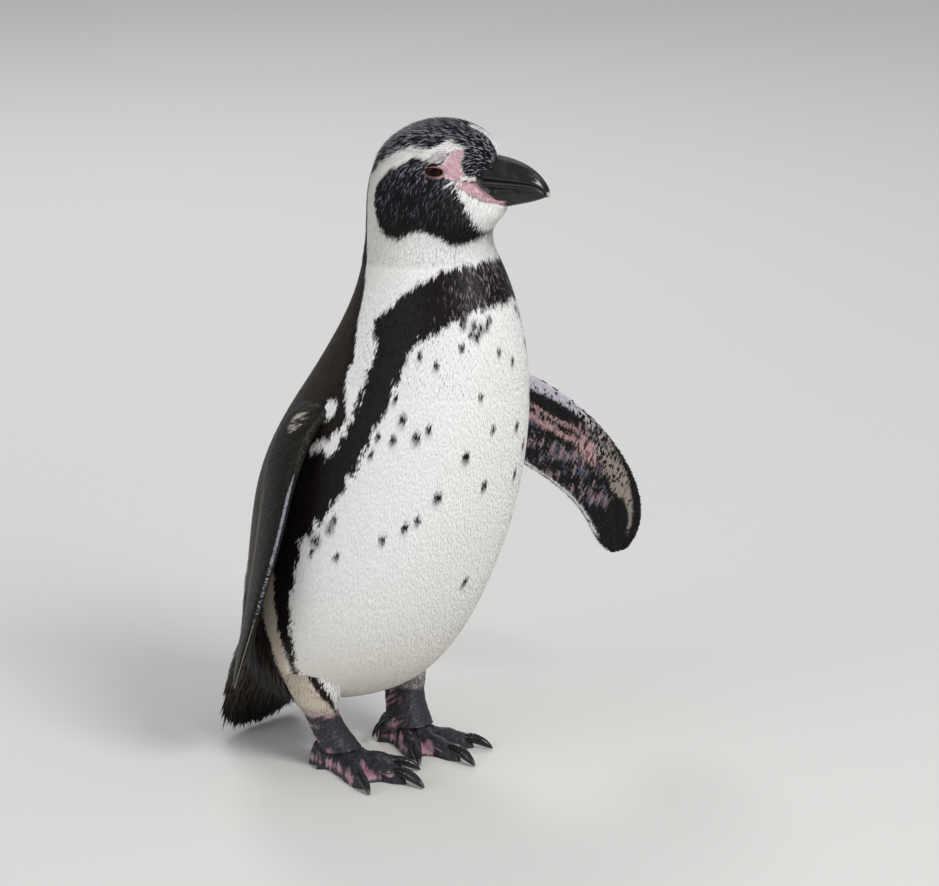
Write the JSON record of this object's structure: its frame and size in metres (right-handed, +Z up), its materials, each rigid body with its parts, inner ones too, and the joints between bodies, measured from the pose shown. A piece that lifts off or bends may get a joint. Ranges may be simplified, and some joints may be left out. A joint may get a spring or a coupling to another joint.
{
  "type": "humboldt penguin figure",
  "caption": "Standing Humboldt penguin as a still, life-size figure: head turned to its left, one flipper held out, the other hanging, on webbed and clawed feet.",
  "frame": {"origin": "floor level under the middle of the bird's bounding box", "axes": "+Z up, the bird's body faces -Y, its left side is +X"},
  "size_m": [0.3692, 0.2872, 0.5427],
  "materials": {
    "plumage_white": "short dense white feathers with a silky gloss",
    "plumage_dark": "short dense brown-black feathers with a satin sheen",
    "foot_skin": "dark scaly skin mottled with pink",
    "horn": "smooth black horn of bill and claws",
    "eye": "wet dark red-brown eye"
  },
  "bodies": {
    "root": {"head": "plumage_dark", "neck": "plumage_white", "trunk": "plumage_white", "tail": "plumage_dark", "flipper_left": "plumage_dark", "flipper_right": "plumage_dark", "thigh_left": "plumage_white", "thigh_right": "plumage_white", "tarsus_left": "foot_skin", "tarsus_right": "foot_skin", "foot_left": "foot_skin", "foot_right": "foot_skin", "bill_upper": "horn", "bill_lower": "horn", "eye_left": "eye", "eye_right": "eye", "claw_left_inner": "horn", "claw_left_middle": "horn", "claw_left_outer": "horn", "claw_left_hind": "horn", "claw_right_inner": "horn", "claw_right_middle": "horn", "claw_right_outer": "horn", "claw_right_hind": "horn"}
  },
  "joints": []
}
